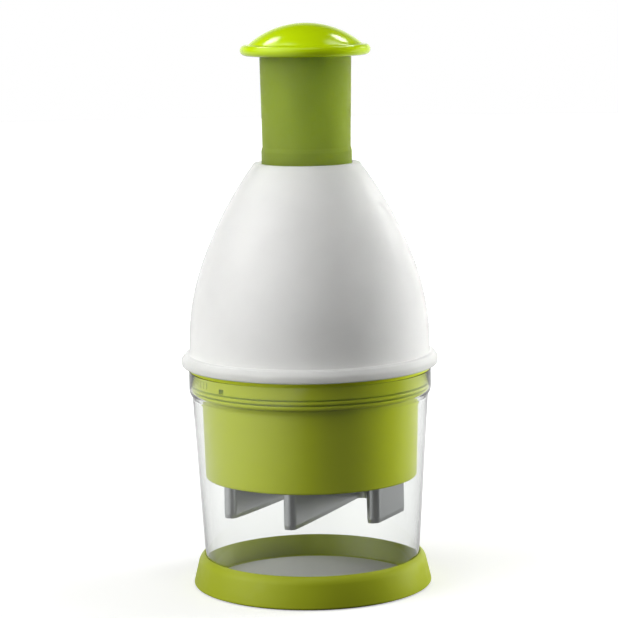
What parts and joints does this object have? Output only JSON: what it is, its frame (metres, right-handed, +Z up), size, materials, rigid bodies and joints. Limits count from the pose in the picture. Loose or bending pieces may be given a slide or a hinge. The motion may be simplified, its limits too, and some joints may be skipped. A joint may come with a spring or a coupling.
{
  "type": "vegetable chopper",
  "caption": "Press-top vegetable chopper: pushing the sprung knob drives a folded blade down into a clear cup on a lidded base.",
  "frame": {"origin": "centre of the base's underside, where the chopper stands", "axes": "+Z up along the plunger's axis, towards the knob; front towards -Y"},
  "size_m": [0.1036, 0.1036, 0.227],
  "materials": {
    "green_plastic": "moulded satin gloss",
    "white_plastic": "moulded high gloss",
    "clear_plastic": "clear moulded polystyrene",
    "inner_plastic": "moulded, fine texture",
    "slide_plastic": "moulded, low friction",
    "board_plastic": "fine knife-proof texture",
    "foot_rubber": "soft matt",
    "blade_steel": "fine brushed along the strip",
    "spring_steel": "drawn wire",
    "screw_steel": "plated"
  },
  "bodies": {
    "base": {"base_lid": "green_plastic", "grip_ring": "foot_rubber", "cutting_disc": "board_plastic"},
    "cup": {"clear_cup": "clear_plastic"},
    "head": {"outer_shell": "white_plastic", "inner_core": "inner_plastic", "shell_screws": "screw_steel", "shaft_bush": "slide_plastic", "ratchet_ring": "slide_plastic", "index_nut": "slide_plastic", "nut_spring": "spring_steel", "nut_cover": "inner_plastic", "nut_cover_screws": "screw_steel", "main_spring": "spring_steel"},
    "guard": {"blade_guard": "green_plastic"},
    "plunger": {"plunger_tube": "green_plastic", "stop_buffer": "foot_rubber", "knob_cap": "green_plastic"},
    "blade": {"drive_spindle": "screw_steel", "swivel_washer": "screw_steel", "swivel_screw": "screw_steel", "chopping_blade": "blade_steel", "blade_carrier": "inner_plastic", "carrier_cover": "inner_plastic", "carrier_screws": "screw_steel"}
  },
  "joints": [
    {"name": "cup_lift", "type": "slide", "parent": "base", "child": "cup", "axis": [0, 0, 1], "range_m": [0, 0.015]},
    {"name": "head_lift", "type": "slide", "parent": "cup", "child": "head", "axis": [0, 0, 1], "range_m": [0, 0.115]},
    {"name": "guard_twist", "type": "hinge", "parent": "head", "child": "guard", "pos_m": [0, 0, 0.095], "axis": [0, 0, 1], "range_deg": [0, 40]},
    {"name": "plunger_press", "type": "slide", "parent": "head", "child": "plunger", "axis": [0, 0, -1], "range_m": [0, 0.024], "stiffness_N_per_m": 300, "springref_m": -0.03, "deforming": ["main_spring"]},
    {"name": "blade_turn", "type": "hinge", "parent": "plunger", "child": "blade", "pos_m": [0, 0, 0.08], "axis": [0, 0, 1], "range_deg": [0, 30]}
  ],
  "couplings": [
    {"joint": "blade_turn", "follows": "plunger_press", "rad_per_m": 21.817}
  ]
}
